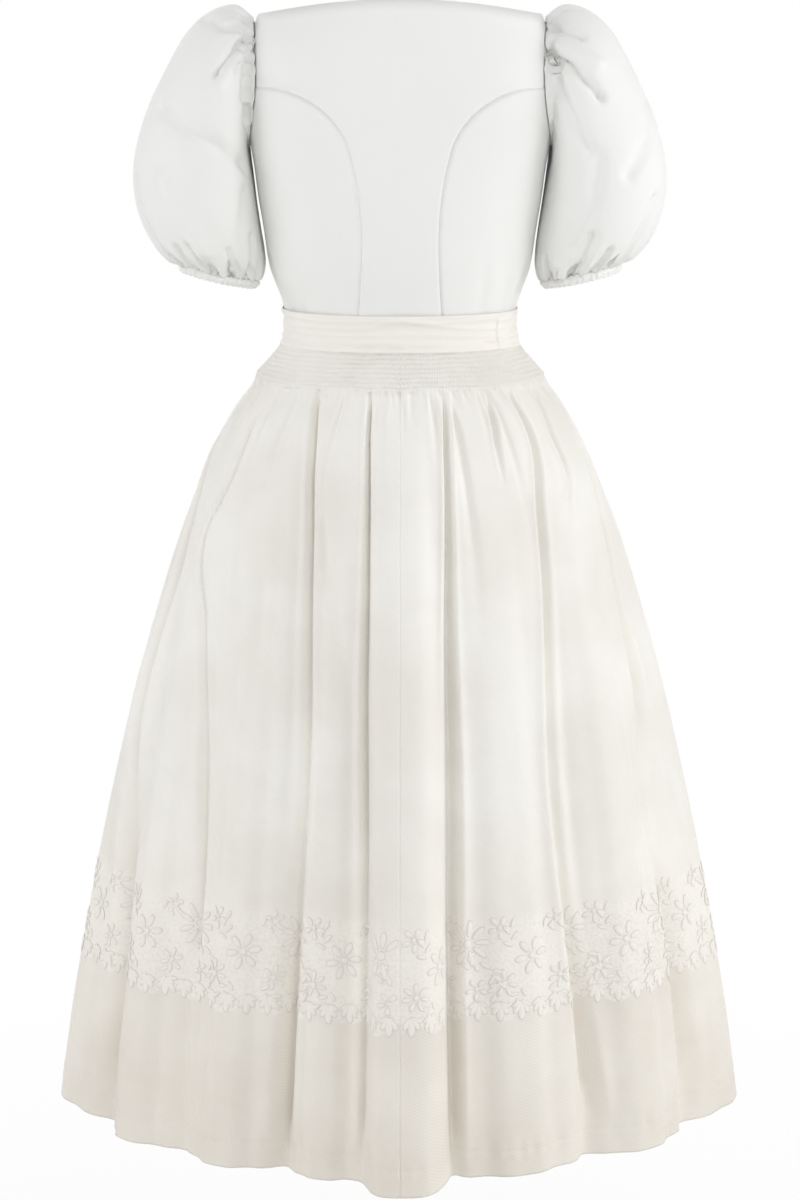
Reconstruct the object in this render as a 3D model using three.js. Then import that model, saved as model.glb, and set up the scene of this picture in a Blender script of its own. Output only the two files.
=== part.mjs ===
// A dirndl that stands open as it is worn: a bodice with princess seams, gathered puff
// sleeves, a folded sash, and a long skirt that is smocked below the waist.
// Millimetres, +Z up. The wearer would face -Y, so +X is the wearer's left.
// The origin is the middle of the waist, at the seam that joins bodice and skirt.
import * as THREE from "three";

// Cloth thicknesses, and the space that neighbouring pieces keep at a seam.
const SEAM_GAP = 0.3;
const SASH_STANDOFF = 0.6;
const BODICE_CLOTH = 1.6;
const SLEEVE_CLOTH = 1.2;
const CUFF_CLOTH = 2.4;
const SASH_CLOTH = 2.4;
const SKIRT_CLOTH = 1.2;
const SMOCKED_CLOTH = 3;

// The waist and hem levels, and the heights that the pieces are cut to.
const WAIST_Z = 0;
const HEM_Z = -851;
const SMOCKING_DEPTH = 53;
const SASH_HEIGHT = 38;
const SASH_SEAM_ANGLE = -62;
const NECK_BACK_Z = 338;
const NECK_SHOULDER_Z = 322;
const NECK_FRONT_Z = 238;
const NECK_HALF_WIDTH = 147;
const NECK_SCOOP_POWER = 2.6;
const CUFF_HEIGHT = 9;

// The armhole is an oval on the side of the bodice.
const ARMHOLE = { centreZ: 250, halfHeight: 60, halfDepth: 56 };

// The fullness that the front princess seams are shaped for.
const BUST = { x: 72, z: 150, out: 14, spreadX: 34, spreadZ: 44 };

// How finely each piece is divided.
const SEAM_STEPS = 8;
const ARMHOLE_QUARTER_STEPS = 5;
const PANEL_STEPS = 5;
const SKIRT_STEPS = 20;
const SASH_STEP_ANGLE = 7.5;

const WHITE_LINEN = { color: 0xf1f1ef, roughness: 0.8, metalness: 0 };
const WHITE_SASH = { color: 0xf3f1ec, roughness: 0.6, metalness: 0 };
const IVORY_SKIRT = { color: 0xe9e7e0, roughness: 0.6, metalness: 0 };

// Level sections of the bodice from the waist up. Each is a superellipse: its half width,
// its depth behind and in front of the middle, and its power (2 is an ellipse).
const BODICE_SECTIONS = table(["z", "half", "back", "front", "power"], [
  [0, 120, 82, 90, 2.2],
  [20, 122, 84, 93, 2.2],
  [63, 136, 92, 106, 2.3],
  [100, 142, 96, 114, 2.45],
  [131, 147, 98, 118, 2.6],
  [165, 151, 98, 116, 2.8],
  [190, 155, 97, 111, 3.0],
  [225, 158, 96, 104, 3.2],
  [254, 159, 94, 98, 3.2],
  [285, 157, 90, 91, 2.9],
  [318, 148, 82, 80, 2.4],
  [340, 140, 77, 72, 2.2],
]);

// Level sections of the skirt from the hem up to the waist, before its folds.
const SKIRT_SECTIONS = table(["z", "half", "back", "front", "power"], [
  [-851, 366, 262, 266, 1.72],
  [-748, 352, 252, 258, 1.75],
  [-655, 336, 243, 250, 1.78],
  [-564, 319, 233, 241, 1.82],
  [-474, 300, 222, 230, 1.86],
  [-384, 279, 209, 217, 1.9],
  [-296, 255, 195, 203, 1.95],
  [-209, 228, 178, 186, 2.0],
  [-166, 212, 167, 174, 2.05],
  [-123, 194, 153, 160, 2.1],
  [-80, 171, 133, 139, 2.15],
  [-53, 152, 116, 121, 2.2],
  [-36, 137, 101, 108, 2.2],
  [-19, 124, 87, 95, 2.2],
  [0, 120, 82, 90, 2.2],
]);

// The levels that the skirt panels are divided at.
const SKIRT_LEVELS = [-851, -790, -710, -620, -520, -420, -325, -235, -165, -110, -75, -53, -19, 0];

// The largest folds of the skirt. The angle is measured at the waist end and at the hem
// from the back middle towards +X. A fold starts at its level, grows to its depth at
// the hem, outwards where the depth is positive, and is as wide as its half angle there.
const SKIRT_FOLDS = table(["waistAngle", "hemAngle", "startZ", "depth", "halfAngle"], [
  [0, -0.5, -60, 44, 11],
  [18, 8, -60, -10, 3],
  [26, 17.5, -130, 8, 5],
  [46, 28, -60, -16, 4.5],
  [58, 41, -130, 12, 6],
  [72, 52, -90, -8, 4],
  [82, 63, -110, 12, 5],
  [98, 73, -100, -16, 4.5],
  [100, 88, -140, 10, 6],
  [-26, -12.5, -60, -11, 3],
  [-36, -28, -150, 10, 8],
  [-57, -45.5, -90, -16, 5],
  [-70, -57, -120, 12, 6],
  [-92, -71.5, -90, -17, 5],
  [-98, -86, -120, 8, 6],
  [112, 102, -110, -13, 5],
  [124, 119, -150, 16, 7],
  [138, 134, -90, -15, 5],
  [150, 150, -130, 20, 7],
  [166, 165, -80, -14, 4.5],
  [180, 180, -100, 24, 8],
  [-166, -163, -90, -15, 4.5],
  [-148, -147, -120, 18, 7],
  [-134, -130, -90, -13, 5],
  [-120, -116, -140, 15, 7],
  [-108, -101, -100, -12, 5],
]);

const FOLD_GROWTH = 0.75;
const WAIST_PULL_HEIGHT = 140;

// The princess seams, from the waist up to the armhole: height, and distance from the
// middle of the body.
const BACK_PRINCESS = table(["z", "x"], [
  [0, 44],
  [19, 42.5],
  [60, 40],
  [100, 39],
  [140, 42],
  [174, 48],
  [199, 56],
  [217, 68],
  [234, 88],
  [246, 115],
]);
const FRONT_PRINCESS = table(["z", "x"], [
  [0, 44],
  [19, 46],
  [40, 50],
  [70, 57],
  [110, 66],
  [150, 72],
  [185, 80],
  [212, 94],
  [232, 114],
]);

// Sections of the left sleeve from the armhole to the cuff. Each is an oval whose upper
// outer end and lower inner end are given, with its half depth from front to back.
const SLEEVE_SECTIONS = table(["outX", "outZ", "inX", "inZ", "halfDepth"], [
  [156, 324, 161, 183, 68],
  [172, 331, 162, 171, 76],
  [196, 325, 159, 158, 82],
  [220, 304, 156, 144, 85],
  [242, 266, 152, 127, 86],
  [263, 221, 149, 110, 86],
  [276, 172, 147, 95, 84],
  [275, 128, 145, 82, 77],
  [262, 92, 145, 68, 66],
  [245, 72, 147, 56, 52],
]);
const CUFF_EDGE = { outX: 232, outZ: 58, inX: 150, inZ: 39, halfDepth: 41 };

// Each row of a table becomes an object with the table's column names.
function table(names, rows) {
  return rows.map((row) => Object.fromEntries(names.map((name, i) => [name, row[i]])));
}

// The columns of a table of sections at a height, on a smooth curve through its rows.
function sectionAt(rows, z) {
  const last = rows.length - 2;
  const found = rows.findIndex((row) => row.z > z) - 1;
  const i = found < 0 ? (z < rows[0].z ? 0 : last) : Math.min(found, last);
  const low = rows[i];
  const high = rows[i + 1];
  const span = high.z - low.z;
  const t = THREE.MathUtils.clamp((z - low.z) / span, 0, 1);
  const section = {};
  for (const key of Object.keys(low)) {
    const lowSlope = slopeAt(rows, i, key) * span;
    const highSlope = slopeAt(rows, i + 1, key) * span;
    section[key] =
      low[key] * (1 + 2 * t) * (1 - t) ** 2 +
      lowSlope * t * (1 - t) ** 2 +
      high[key] * t ** 2 * (3 - 2 * t) +
      highSlope * t ** 2 * (t - 1);
  }
  return section;
}

function slopeAt(rows, i, key) {
  const before = rows[Math.max(i - 1, 0)];
  const after = rows[Math.min(i + 1, rows.length - 1)];
  return (after[key] - before[key]) / (after.z - before.z);
}

// The point of a section in the direction of an angle, from the back towards +X.
function sectionPoint(section, angle, z) {
  const sine = Math.sin(angle);
  const cosine = Math.cos(angle);
  const depth = cosine > 0 ? section.back : section.front;
  const across = Math.abs(sine / section.half) ** section.power;
  const along = Math.abs(cosine / depth) ** section.power;
  const radius = (across + along) ** (-1 / section.power);
  return new THREE.Vector3(radius * sine, radius * cosine, z);
}

// Two shapes of height 1 at 0 that fall to about a tenth at 1: a bell, and a broad top.
const bell = (t) => Math.exp(-2.3 * t ** 2);
const broadTop = (t) => Math.exp(-2.3 * t ** 4);

function bodiceSurface(angle, z) {
  const point = sectionPoint(sectionAt(BODICE_SECTIONS, z), angle, z);
  if (point.y < 0) {
    const across = (Math.abs(point.x) - BUST.x) / BUST.spreadX;
    const up = (z - BUST.z) / BUST.spreadZ;
    point.y -= BUST.out * bell(across) * bell(up);
  }
  return point;
}

// How far the skirt's folds move its cloth: ridges are broad and troughs are narrow.
function foldReach(angle, z) {
  let reach = 0;
  for (const fold of SKIRT_FOLDS) {
    const down = (z - fold.startZ) / (HEM_Z - fold.startZ);
    if (down <= 0) continue;
    const pull = Math.exp(z / WAIST_PULL_HEIGHT);
    const middle = THREE.MathUtils.lerp(fold.hemAngle, fold.waistAngle, pull);
    const turn = THREE.MathUtils.euclideanModulo(
      THREE.MathUtils.radToDeg(angle) - middle + 180, 360) - 180;
    const profile = fold.depth > 0 ? broadTop : bell;
    reach += fold.depth * down ** FOLD_GROWTH * profile(turn / fold.halfAngle);
  }
  return reach;
}

function skirtSurface(angle, z) {
  const point = sectionPoint(sectionAt(SKIRT_SECTIONS, z), angle, z);
  const outwards = new THREE.Vector3(point.x, point.y, 0).normalize();
  return point.addScaledVector(outwards, foldReach(angle, z));
}

// What the sash lies on: the bodice above the waist and the skirt below it.
function waistSurface(angle, z) {
  return z > WAIST_Z ? bodiceSurface(angle, z) : skirtSurface(angle, z);
}

// The outward normal of a surface that is a function of angle and height.
function normalOf(surface, angle, z) {
  const step = 1e-3;
  const around = surface(angle + step, z).sub(surface(angle - step, z));
  const up = surface(angle, z + 0.1).sub(surface(angle, z - 0.1));
  return up.cross(around).normalize();
}

// The angle between two limits where a falling function of the angle reaches zero.
function solveAngle(low, high, fall) {
  let from = low;
  let to = high;
  for (let i = 0; i < 50; i += 1) {
    const middle = (from + to) / 2;
    if (fall(middle) > 0) from = middle;
    else to = middle;
  }
  return (from + to) / 2;
}

// Seams are lists of places on the bodice, each an angle and a height. Angles are scaled
// to about millimetres while a seam is divided, so that its steps come out even.
const BODY_RADIUS = 125;

function evenSteps(places, steps) {
  const flat = places.map(({ angle, z }) => new THREE.Vector2(angle * BODY_RADIUS, z));
  const spaced = new THREE.SplineCurve(flat).getSpacedPoints(steps);
  return spaced.map((p) => ({ angle: p.x / BODY_RADIUS, z: p.y }));
}

function armholePlace(turn) {
  const z = ARMHOLE.centreZ + ARMHOLE.halfHeight * Math.cos(turn);
  const y = ARMHOLE.halfDepth * Math.sin(turn);
  const angle = solveAngle(0, Math.PI, (a) => bodiceSurface(a, z).y - y);
  return { angle, z };
}

// A stretch of the armhole between two turns in degrees: 0 is its top, 90 its back edge.
function armholeSeam(fromTurn, toTurn) {
  const steps = (Math.abs(toTurn - fromTurn) / 90) * ARMHOLE_QUARTER_STEPS;
  return Array.from({ length: steps + 1 }, (_, i) =>
    armholePlace(THREE.MathUtils.degToRad(fromTurn + ((toTurn - fromTurn) * i) / steps)));
}

// A princess seam from the waist up to its end on the armhole. Its first step is the
// height of the sash above the waist.
function princessSeam(rows, armholeTurn) {
  const behind = armholeTurn > 0;
  const places = rows.map(({ z, x }) => ({
    z,
    angle: behind
      ? solveAngle(0, Math.PI / 2, (a) => x - bodiceSurface(a, z).x)
      : solveAngle(Math.PI / 2, Math.PI, (a) => bodiceSurface(a, z).x - x),
  }));
  places.push(armholePlace(THREE.MathUtils.degToRad(armholeTurn)));
  return [places[0], ...evenSteps(places.slice(1), SEAM_STEPS - 1)];
}

// An upright seam from the waist, with the same first step.
function uprightSeam(angle, top, steps) {
  const waist = { angle, z: WAIST_Z };
  return [waist, ...straight({ angle, z: SASH_HEIGHT / 2 }, top, steps - 1)];
}

// A straight stretch between two places.
function straight(from, to, steps) {
  return Array.from({ length: steps + 1 }, (_, i) => ({
    angle: THREE.MathUtils.lerp(from.angle, to.angle, i / steps),
    z: THREE.MathUtils.lerp(from.z, to.z, i / steps),
  }));
}

// The neck edge at an angle: nearly level behind, and a round scoop in front.
function neckPlace(angle) {
  const x = Math.abs(bodiceSurface(angle, NECK_SHOULDER_Z).x) / NECK_HALF_WIDTH;
  const behind = Math.cos(angle) >= 0;
  const middleZ = behind ? NECK_BACK_Z : NECK_FRONT_Z;
  const rise = Math.min(x, 1) ** (behind ? 2 : NECK_SCOOP_POWER);
  return { angle, z: THREE.MathUtils.lerp(middleZ, NECK_SHOULDER_Z, rise) };
}

function neckEdge(fromAngle, toAngle, steps) {
  return Array.from({ length: steps + 1 }, (_, i) =>
    neckPlace(THREE.MathUtils.lerp(fromAngle, toAngle, i / steps)));
}

// A grid of places inside four edges that share their corners. The left and right edges
// run upwards and the bottom and top edges run in the direction of growing angle.
function fillEdges({ left, right, bottom, top }) {
  const rows = left.length - 1;
  const columns = bottom.length - 1;
  const blend = (key, i, j) => {
    const v = i / rows;
    const u = j / columns;
    const sides = (1 - u) * left[i][key] + u * right[i][key];
    const ends = (1 - v) * bottom[j][key] + v * top[j][key];
    const corners =
      (1 - v) * ((1 - u) * bottom[0][key] + u * bottom[columns][key]) +
      v * ((1 - u) * top[0][key] + u * top[columns][key]);
    return sides + ends - corners;
  };
  return left.map((_, i) => bottom.map((__, j) => ({
    angle: blend("angle", i, j),
    z: blend("z", i, j),
  })));
}

// Two grids of points, for the outer and the inner face of cloth on a surface. Each face
// starts at its own distance out from the surface. The edges named in seams are drawn
// back by half the seam gap.
function clothOn(surface, places, outAt, inAt, seams) {
  const base = places.map((row) => row.map(({ angle, z }) => surface(angle, z)));
  const normals = places.map((row) => row.map(({ angle, z }) => normalOf(surface, angle, z)));
  const back = seamShifts(base, normals, seams);
  const face = (distanceAt) => base.map((row, i) => row.map((point, j) =>
    point.clone()
      .addScaledVector(normals[i][j], distanceAt(places[i][j].z))
      .add(back[i][j])));
  return { outer: face(outAt), inner: face(inAt) };
}

// For each point of a grid, the move that draws the seam edges back by half the gap.
function seamShifts(points, normals, seams) {
  const rows = points.length - 1;
  const columns = points[0].length - 1;
  const shifts = points.map((row) => row.map(() => new THREE.Vector3()));
  const draw = (i, j, before, after, inside) => {
    const along = after.clone().sub(before);
    const across = normals[i][j].clone().cross(along).normalize();
    const inwards = inside.clone().sub(points[i][j]).dot(across) > 0 ? 1 : -1;
    shifts[i][j].addScaledVector(across, (inwards * SEAM_GAP) / 2);
  };
  for (let i = 0; i <= rows; i += 1) {
    const before = Math.max(i - 1, 0);
    const after = Math.min(i + 1, rows);
    if (seams.includes("left")) draw(i, 0, points[before][0], points[after][0], points[i][1]);
    if (seams.includes("right"))
      draw(i, columns, points[before][columns], points[after][columns], points[i][columns - 1]);
  }
  for (let j = 0; j <= columns; j += 1) {
    const before = Math.max(j - 1, 0);
    const after = Math.min(j + 1, columns);
    if (seams.includes("bottom")) draw(0, j, points[0][before], points[0][after], points[1][j]);
    if (seams.includes("top"))
      draw(rows, j, points[rows][before], points[rows][after], points[rows - 1][j]);
  }
  return shifts;
}

// The same cloth on the other side of the body.
function mirrored({ outer, inner }) {
  const flip = (grid) => grid.map((row) =>
    row.map((p) => new THREE.Vector3(-p.x, p.y, p.z)).reverse());
  return { outer: flip(outer), inner: flip(inner) };
}

// One closed solid between an outer and an inner grid of points. Rows grow upwards, or
// along a tube, and columns turn so that row direction cross column direction points out.
// Where the cloth is a tube its last column is joined to its first. Each quad is divided
// along its shorter diagonal.
function clothSolid({ outer, inner }, isTube) {
  const rows = outer.length - 1;
  const columns = isTube ? outer[0].length : outer[0].length - 1;
  const across = outer[0].length;
  const points = [...outer.flat(), ...inner.flat()];
  const outAt = (i, j) => i * across + (j % across);
  const inAt = (i, j) => (rows + 1) * across + outAt(i, j);
  const index = [];
  const quad = (a, b, c, d) => {
    const shortest = points[a].distanceTo(points[c]) < points[b].distanceTo(points[d]);
    index.push(...(shortest ? [a, b, c, a, c, d] : [a, b, d, b, c, d]));
  };
  for (let i = 0; i < rows; i += 1) {
    for (let j = 0; j < columns; j += 1) {
      quad(outAt(i, j), outAt(i + 1, j), outAt(i + 1, j + 1), outAt(i, j + 1));
      quad(inAt(i, j), inAt(i, j + 1), inAt(i + 1, j + 1), inAt(i + 1, j));
    }
  }
  for (let j = 0; j < columns; j += 1) {
    quad(outAt(0, j), outAt(0, j + 1), inAt(0, j + 1), inAt(0, j));
    quad(outAt(rows, j + 1), outAt(rows, j), inAt(rows, j), inAt(rows, j + 1));
  }
  if (!isTube) {
    for (let i = 0; i < rows; i += 1) {
      quad(outAt(i + 1, 0), outAt(i, 0), inAt(i, 0), inAt(i + 1, 0));
      quad(outAt(i, columns), outAt(i + 1, columns), inAt(i + 1, columns), inAt(i, columns));
    }
  }
  const geometry = new THREE.BufferGeometry();
  geometry.setFromPoints(points);
  geometry.setIndex(index);
  return geometry;
}

const dirndl = new THREE.Group();

function addCloth(name, cloth, look, isTube = false) {
  const mesh = new THREE.Mesh(clothSolid(cloth, isTube), new THREE.MeshStandardMaterial(look));
  mesh.name = name;
  dirndl.add(mesh);
}

function addPair(name, cloth, look, isTube = false) {
  addCloth(`${name}_left`, cloth, look, isTube);
  addCloth(`${name}_right`, mirrored(cloth), look, isTube);
}

// Bodice: a back with no middle seam, a back and a front side panel on each side, and two
// fronts that meet edge to edge at the front middle.
const QUARTER = Math.PI / 2;
const HALF_TURN = Math.PI;
const onSurface = () => 0;
const bodiceInside = () => -BODICE_CLOTH;

function addBodice() {
  const backPrincess = princessSeam(BACK_PRINCESS, 90);
  const frontPrincess = princessSeam(FRONT_PRINCESS, -90);
  const shoulderTip = neckPlace(QUARTER);
  const backSide = [...backPrincess, ...armholeSeam(90, 0).slice(1), shoulderTip];
  const frontSide = [...frontPrincess, ...armholeSeam(-90, 0).slice(1)];
  const sideSeam = uprightSeam(QUARTER, armholePlace(HALF_TURN), SEAM_STEPS);
  const otherSide = backSide.map(({ angle, z }) => ({ angle: -angle, z }));
  const frontEdge = [
    ...uprightSeam(HALF_TURN, neckPlace(HALF_TURN), SEAM_STEPS),
    ...neckEdge(HALF_TURN, QUARTER, ARMHOLE_QUARTER_STEPS).slice(1),
  ];

  const backCentre = fillEdges({
    left: otherSide,
    right: backSide,
    bottom: straight(otherSide[0], backSide[0], 2 * PANEL_STEPS),
    top: neckEdge(-QUARTER, QUARTER, 2 * PANEL_STEPS),
  });
  addCloth("bodice_back", clothOn(bodiceSurface, backCentre, onSurface, bodiceInside,
    ["left", "right", "bottom"]), WHITE_LINEN);

  const backPanel = fillEdges({
    left: backPrincess,
    right: sideSeam,
    bottom: straight(backPrincess[0], sideSeam[0], PANEL_STEPS),
    top: armholeSeam(90, 180),
  });
  addPair("bodice_back_side", clothOn(bodiceSurface, backPanel, onSurface, bodiceInside,
    ["left", "right", "bottom", "top"]), WHITE_LINEN);

  const frontPanel = fillEdges({
    left: sideSeam,
    right: frontPrincess,
    bottom: straight(sideSeam[0], frontPrincess[0], PANEL_STEPS),
    top: armholeSeam(-180, -90),
  });
  addPair("bodice_front_side", clothOn(bodiceSurface, frontPanel, onSurface, bodiceInside,
    ["left", "right", "bottom", "top"]), WHITE_LINEN);

  const front = fillEdges({
    left: frontSide,
    right: frontEdge,
    bottom: straight(frontSide[0], frontEdge[0], PANEL_STEPS),
    top: straight(frontSide[frontSide.length - 1], shoulderTip, PANEL_STEPS),
  });
  addPair("bodice_front", clothOn(bodiceSurface, front, onSurface, bodiceInside,
    ["left", "right", "bottom", "top"]), WHITE_LINEN);
}

// An oval between an upper outer and a lower inner end, as deep as its half depth.
function ovalRing({ outX, outZ, inX, inZ, halfDepth }, turns) {
  const middle = new THREE.Vector3((outX + inX) / 2, 0, (outZ + inZ) / 2);
  const reach = new THREE.Vector3(outX, 0, outZ).sub(middle);
  const depth = new THREE.Vector3(0, halfDepth, 0);
  return turns.map((turn) => middle.clone()
    .addScaledVector(reach, Math.cos(turn))
    .addScaledVector(depth, Math.sin(turn)));
}

// The inner face of a tube, a cloth's thickness inside a grid of outer points.
function insideTube(outer, thickness) {
  const rows = outer.length - 1;
  const around = outer[0].length;
  return outer.map((row, i) => row.map((point, j) => {
    const along = outer[Math.min(i + 1, rows)][j].clone().sub(outer[Math.max(i - 1, 0)][j]);
    const across = row[(j + 1) % around].clone().sub(row[(j + around - 1) % around]);
    return point.clone().addScaledVector(along.cross(across).normalize(), -thickness);
  }));
}

const SLEEVE_TURNS = Array.from({ length: 4 * ARMHOLE_QUARTER_STEPS }, (_, i) =>
  (i * QUARTER) / ARMHOLE_QUARTER_STEPS);

// The end of the sleeve that is set into the armhole: two rings just inside its edge, one
// level with the inside of the bodice and one level with its outside.
function sleeveHead() {
  const places = SLEEVE_TURNS.map((turn) => armholePlace(turn > HALF_TURN ? turn - 2 * HALF_TURN : turn));
  const edge = places.map(({ angle, z }) => bodiceSurface(angle, z));
  const normals = places.map(({ angle, z }) => normalOf(bodiceSurface, angle, z));
  const around = edge.length;
  const shrunk = (inset, depth) => edge.map((point, j) => {
    const along = edge[(j + 1) % around].clone().sub(edge[(j + around - 1) % around]);
    const inwards = along.cross(normals[j]).normalize();
    return point.clone().addScaledVector(inwards, inset).addScaledVector(normals[j], -depth);
  });
  const gap = SEAM_GAP / 2;
  return {
    outer: [shrunk(gap, BODICE_CLOTH), shrunk(gap, 0)],
    inner: [shrunk(gap + SLEEVE_CLOTH, BODICE_CLOTH), shrunk(gap + SLEEVE_CLOTH, 0)],
  };
}

// The cuff's ring at a height along its own axis, up from its lower edge.
function cuffSection(height) {
  const { outX, outZ, inX, inZ, halfDepth } = CUFF_EDGE;
  const width = Math.hypot(outX - inX, outZ - inZ);
  const upX = -(outZ - inZ) / width;
  const upZ = (outX - inX) / width;
  return {
    outX: outX + upX * height,
    outZ: outZ + upZ * height,
    inX: inX + upX * height,
    inZ: inZ + upZ * height,
    halfDepth,
  };
}

function addSleeves() {
  const head = sleeveHead();
  const end = cuffSection(CUFF_HEIGHT + SEAM_GAP);
  const body = [...SLEEVE_SECTIONS, end].map((section) => ovalRing(section, SLEEVE_TURNS));
  const outer = [...head.outer, ...body];
  const inner = [...head.inner, ...insideTube(outer, SLEEVE_CLOTH).slice(head.inner.length)];
  addPair("sleeve", { outer, inner }, WHITE_LINEN, true);

  const band = [cuffSection(CUFF_HEIGHT), cuffSection(0)].map((section) =>
    ovalRing(section, SLEEVE_TURNS));
  addPair("cuff", { outer: band, inner: insideTube(band, CUFF_CLOTH) }, WHITE_LINEN, true);
}

// A stretch of the sash between two angles in degrees.
function addSashPart(name, fromAngle, toAngle) {
  const from = THREE.MathUtils.degToRad(fromAngle);
  const to = THREE.MathUtils.degToRad(toAngle);
  const steps = Math.round((toAngle - fromAngle) / SASH_STEP_ANGLE);
  const places = [-SASH_HEIGHT / 2, WAIST_Z, SASH_HEIGHT / 2].map((z) =>
    straight({ angle: from, z }, { angle: to, z }, steps));
  const outside = () => SASH_STANDOFF + SASH_CLOTH;
  const inside = () => SASH_STANDOFF;
  addCloth(name, clothOn(waistSurface, places, outside, inside, ["left", "right"]), WHITE_SASH);
}

// A quarter of the skirt between two angles. Its top is gathered into smocking, which
// makes the cloth as thick as its folds.
function skirtCloth(fromAngle, toAngle) {
  const places = SKIRT_LEVELS.map((z) =>
    straight({ angle: fromAngle, z }, { angle: toAngle, z }, SKIRT_STEPS));
  const inside = (z) => (z >= -SMOCKING_DEPTH ? -SMOCKED_CLOTH : -SKIRT_CLOTH);
  return clothOn(skirtSurface, places, onSurface, inside, ["left", "right", "top"]);
}

addBodice();
addSleeves();
addSashPart("sash_wrap", SASH_SEAM_ANGLE, 180);
addSashPart("sash_end", -180, SASH_SEAM_ANGLE);
addCloth("skirt_back_left", skirtCloth(0, QUARTER), IVORY_SKIRT);
addCloth("skirt_front_left", skirtCloth(QUARTER, HALF_TURN), IVORY_SKIRT);
addCloth("skirt_back_right", skirtCloth(-QUARTER, 0), IVORY_SKIRT);
addCloth("skirt_front_right", skirtCloth(-HALF_TURN, -QUARTER), IVORY_SKIRT);

export default dirndl;
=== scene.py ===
"""The looks of a dirndl that stands open as it is worn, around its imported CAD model."""
import math

import bpy
import numpy as np
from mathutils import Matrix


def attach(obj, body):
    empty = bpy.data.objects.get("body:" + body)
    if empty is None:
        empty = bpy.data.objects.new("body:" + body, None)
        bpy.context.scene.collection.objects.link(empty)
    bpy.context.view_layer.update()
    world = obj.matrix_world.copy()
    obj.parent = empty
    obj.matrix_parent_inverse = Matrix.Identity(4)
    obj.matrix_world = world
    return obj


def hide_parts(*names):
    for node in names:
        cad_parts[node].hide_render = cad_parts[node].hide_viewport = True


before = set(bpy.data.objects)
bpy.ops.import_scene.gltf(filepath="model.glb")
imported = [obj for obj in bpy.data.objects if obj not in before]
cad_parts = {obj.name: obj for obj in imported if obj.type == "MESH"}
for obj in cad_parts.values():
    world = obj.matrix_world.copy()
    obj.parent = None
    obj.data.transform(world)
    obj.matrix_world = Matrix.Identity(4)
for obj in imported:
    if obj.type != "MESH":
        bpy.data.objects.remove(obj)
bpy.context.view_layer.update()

MM = 0.001
HEM_Z = -851.0
SMOCKING_Z = -53.0
RANDOM = np.random.default_rng(7)


# ---------------------------------------------------------------- sections, in millimetres
def table(names, rows):
    """Each column of a short table as an array under its name."""
    return dict(zip(names, np.array(rows, float).T))


SKIRT_SECTIONS = table(("z", "half", "back", "front", "power"), [
    (-851, 366, 262, 266, 1.72), (-748, 352, 252, 258, 1.75), (-655, 336, 243, 250, 1.78),
    (-564, 319, 233, 241, 1.82), (-474, 300, 222, 230, 1.86), (-384, 279, 209, 217, 1.9),
    (-296, 255, 195, 203, 1.95), (-209, 228, 178, 186, 2.0), (-166, 212, 167, 174, 2.05),
    (-123, 194, 153, 160, 2.1), (-80, 171, 133, 139, 2.15), (-53, 152, 116, 121, 2.2),
    (-36, 137, 101, 108, 2.2), (-19, 124, 87, 95, 2.2), (0, 120, 82, 90, 2.2),
])
BODICE_SECTIONS = table(("z", "half", "back", "front", "power"), [
    (0, 120, 82, 90, 2.2), (20, 122, 84, 93, 2.2), (63, 136, 92, 106, 2.3),
    (100, 142, 96, 114, 2.45), (131, 147, 98, 118, 2.6), (165, 151, 98, 116, 2.8),
    (190, 155, 97, 111, 3.0), (225, 158, 96, 104, 3.2), (254, 159, 94, 98, 3.2),
    (285, 157, 90, 91, 2.9), (318, 148, 82, 80, 2.4), (340, 140, 77, 72, 2.2),
])
# Sections of the left sleeve: its upper outer end, its lower inner end, and half depth.
SLEEVE_SECTIONS = table(("out_x", "out_z", "in_x", "in_z", "depth"), [
    (158, 322, 157.5, 185, 60), (172, 331, 156, 171, 69), (196, 325, 153.5, 158, 79),
    (220, 304, 151.5, 144, 85), (242, 266, 149, 127, 86), (263, 221, 146, 110, 86),
    (276, 172, 143.5, 95, 84), (275, 128, 141.5, 82, 77), (262, 92, 141, 68, 66),
    (245, 72, 144, 56, 52), (230, 66.8, 148, 47.8, 41.5),
])
ARMHOLE = {"z": 250, "height": 60, "depth": 56}
BUST = {"x": 72, "z": 150, "out": 14, "wide": 34, "high": 44}

# The large folds of the skirt: angles from the back middle towards +X at the waist and
# at the hem, where the fold starts, its depth at the hem and half its angle there.
SKIRT_FOLDS = [
    (0, -0.5, -60, 44, 11), (18, 8, -60, -10, 3), (26, 17.5, -130, 8, 5),
    (46, 28, -60, -16, 4.5), (58, 41, -130, 12, 6), (72, 52, -90, -8, 4),
    (82, 63, -110, 12, 5), (98, 73, -100, -16, 4.5), (100, 88, -140, 10, 6),
    (-26, -12.5, -60, -11, 3), (-36, -28, -150, 10, 8), (-57, -45.5, -90, -16, 5),
    (-70, -57, -120, 12, 6), (-92, -71.5, -90, -17, 5), (-98, -86, -120, 8, 6),
    (112, 102, -110, -13, 5), (124, 119, -150, 16, 7), (138, 134, -90, -15, 5),
    (150, 150, -130, 20, 7), (166, 165, -80, -14, 4.5), (180, 180, -100, 24, 8),
    (-166, -163, -90, -15, 4.5), (-148, -147, -120, 18, 7), (-134, -130, -90, -13, 5),
    (-120, -116, -140, 15, 7), (-108, -101, -100, -12, 5),
]
FOLD_GROWTH = 0.75
WAIST_PULL = 140.0

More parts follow.
